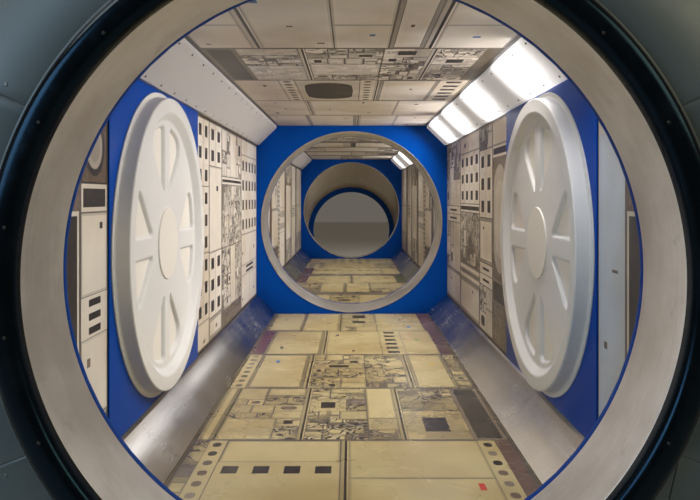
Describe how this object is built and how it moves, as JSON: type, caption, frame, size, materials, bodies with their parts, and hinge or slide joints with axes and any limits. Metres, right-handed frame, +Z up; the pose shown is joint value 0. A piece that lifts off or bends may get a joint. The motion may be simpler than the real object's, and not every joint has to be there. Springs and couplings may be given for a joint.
{
  "type": "space station play module mock-up",
  "caption": "Crawl-through mock-up of two space station compartments with round hatches and a sloping exit tube.",
  "frame": {"origin": "on the ground, under the middle of the whole length and width", "axes": "+Y along the passages from the entrance to the exit, +Z up, +X to the right seen from the entrance"},
  "size_m": [1.6, 7.246, 1.9],
  "materials": {
    "hull_paint": "satin blue-grey paint on riveted sheet",
    "face_paint": "satin blue-grey paint on riveted sheet",
    "blue_paint": "satin blue paint on board",
    "aluminium": "brushed",
    "gasket_rubber": "glossy black",
    "white_cover": "moulded, semi-gloss white",
    "printed_wall": "cream laminate with a printed equipment pattern",
    "printed_floor": "glossy cream laminate with a printed pattern",
    "lamp_sheet": "white perforated sheet, lit from behind on the right",
    "tube_paint": "glossy beige",
    "saddle_paint": "satin dark grey paint"
  },
  "bodies": {
    "root": {"aft_back_face": "face_paint", "aft_bulkhead_back": "blue_paint", "aft_bulkhead_front": "blue_paint", "aft_ceiling": "printed_wall", "aft_floor": "printed_floor", "aft_front_face": "face_paint", "aft_hull_bottom": "hull_paint", "aft_hull_left": "hull_paint", "aft_hull_lower_left": "hull_paint", "aft_hull_lower_right": "hull_paint", "aft_hull_right": "hull_paint", "aft_hull_top": "hull_paint", "aft_hull_upper_left": "hull_paint", "aft_hull_upper_right": "hull_paint", "aft_kick_plate_left": "aluminium", "aft_kick_plate_right": "aluminium", "aft_lamp_panel_left": "lamp_sheet", "aft_lamp_panel_right": "lamp_sheet", "aft_wall_left": "printed_wall", "aft_wall_right": "printed_wall", "entrance_face": "face_paint", "entrance_gasket": "gasket_rubber", "entrance_hoop": "aluminium", "exit_collar": "gasket_rubber", "exit_hoop": "aluminium", "exit_plate": "blue_paint", "exit_tube": "tube_paint", "fore_back_face": "face_paint", "fore_bulkhead_back": "blue_paint", "fore_bulkhead_front": "blue_paint", "fore_ceiling": "printed_wall", "fore_floor": "printed_floor", "fore_hull_bottom": "hull_paint", "fore_hull_left": "hull_paint", "fore_hull_lower_left": "hull_paint", "fore_hull_lower_right": "hull_paint", "fore_hull_right": "hull_paint", "fore_hull_top": "hull_paint", "fore_hull_upper_left": "hull_paint", "fore_hull_upper_right": "hull_paint", "fore_kick_plate_left": "aluminium", "fore_kick_plate_right": "aluminium", "fore_lamp_panel_left": "lamp_sheet", "fore_lamp_panel_right": "lamp_sheet", "fore_wall_left": "printed_wall", "fore_wall_right": "printed_wall", "hatch_cover_left": "white_cover", "hatch_cover_right": "white_cover", "hatch_panel_left": "blue_paint", "hatch_panel_right": "blue_paint", "neck_hoop": "aluminium", "neck_sleeve": "gasket_rubber", "saddle_1": "saddle_paint", "saddle_2": "saddle_paint", "saddle_3": "saddle_paint", "saddle_4": "saddle_paint", "saddle_5": "saddle_paint"}
  },
  "joints": []
}
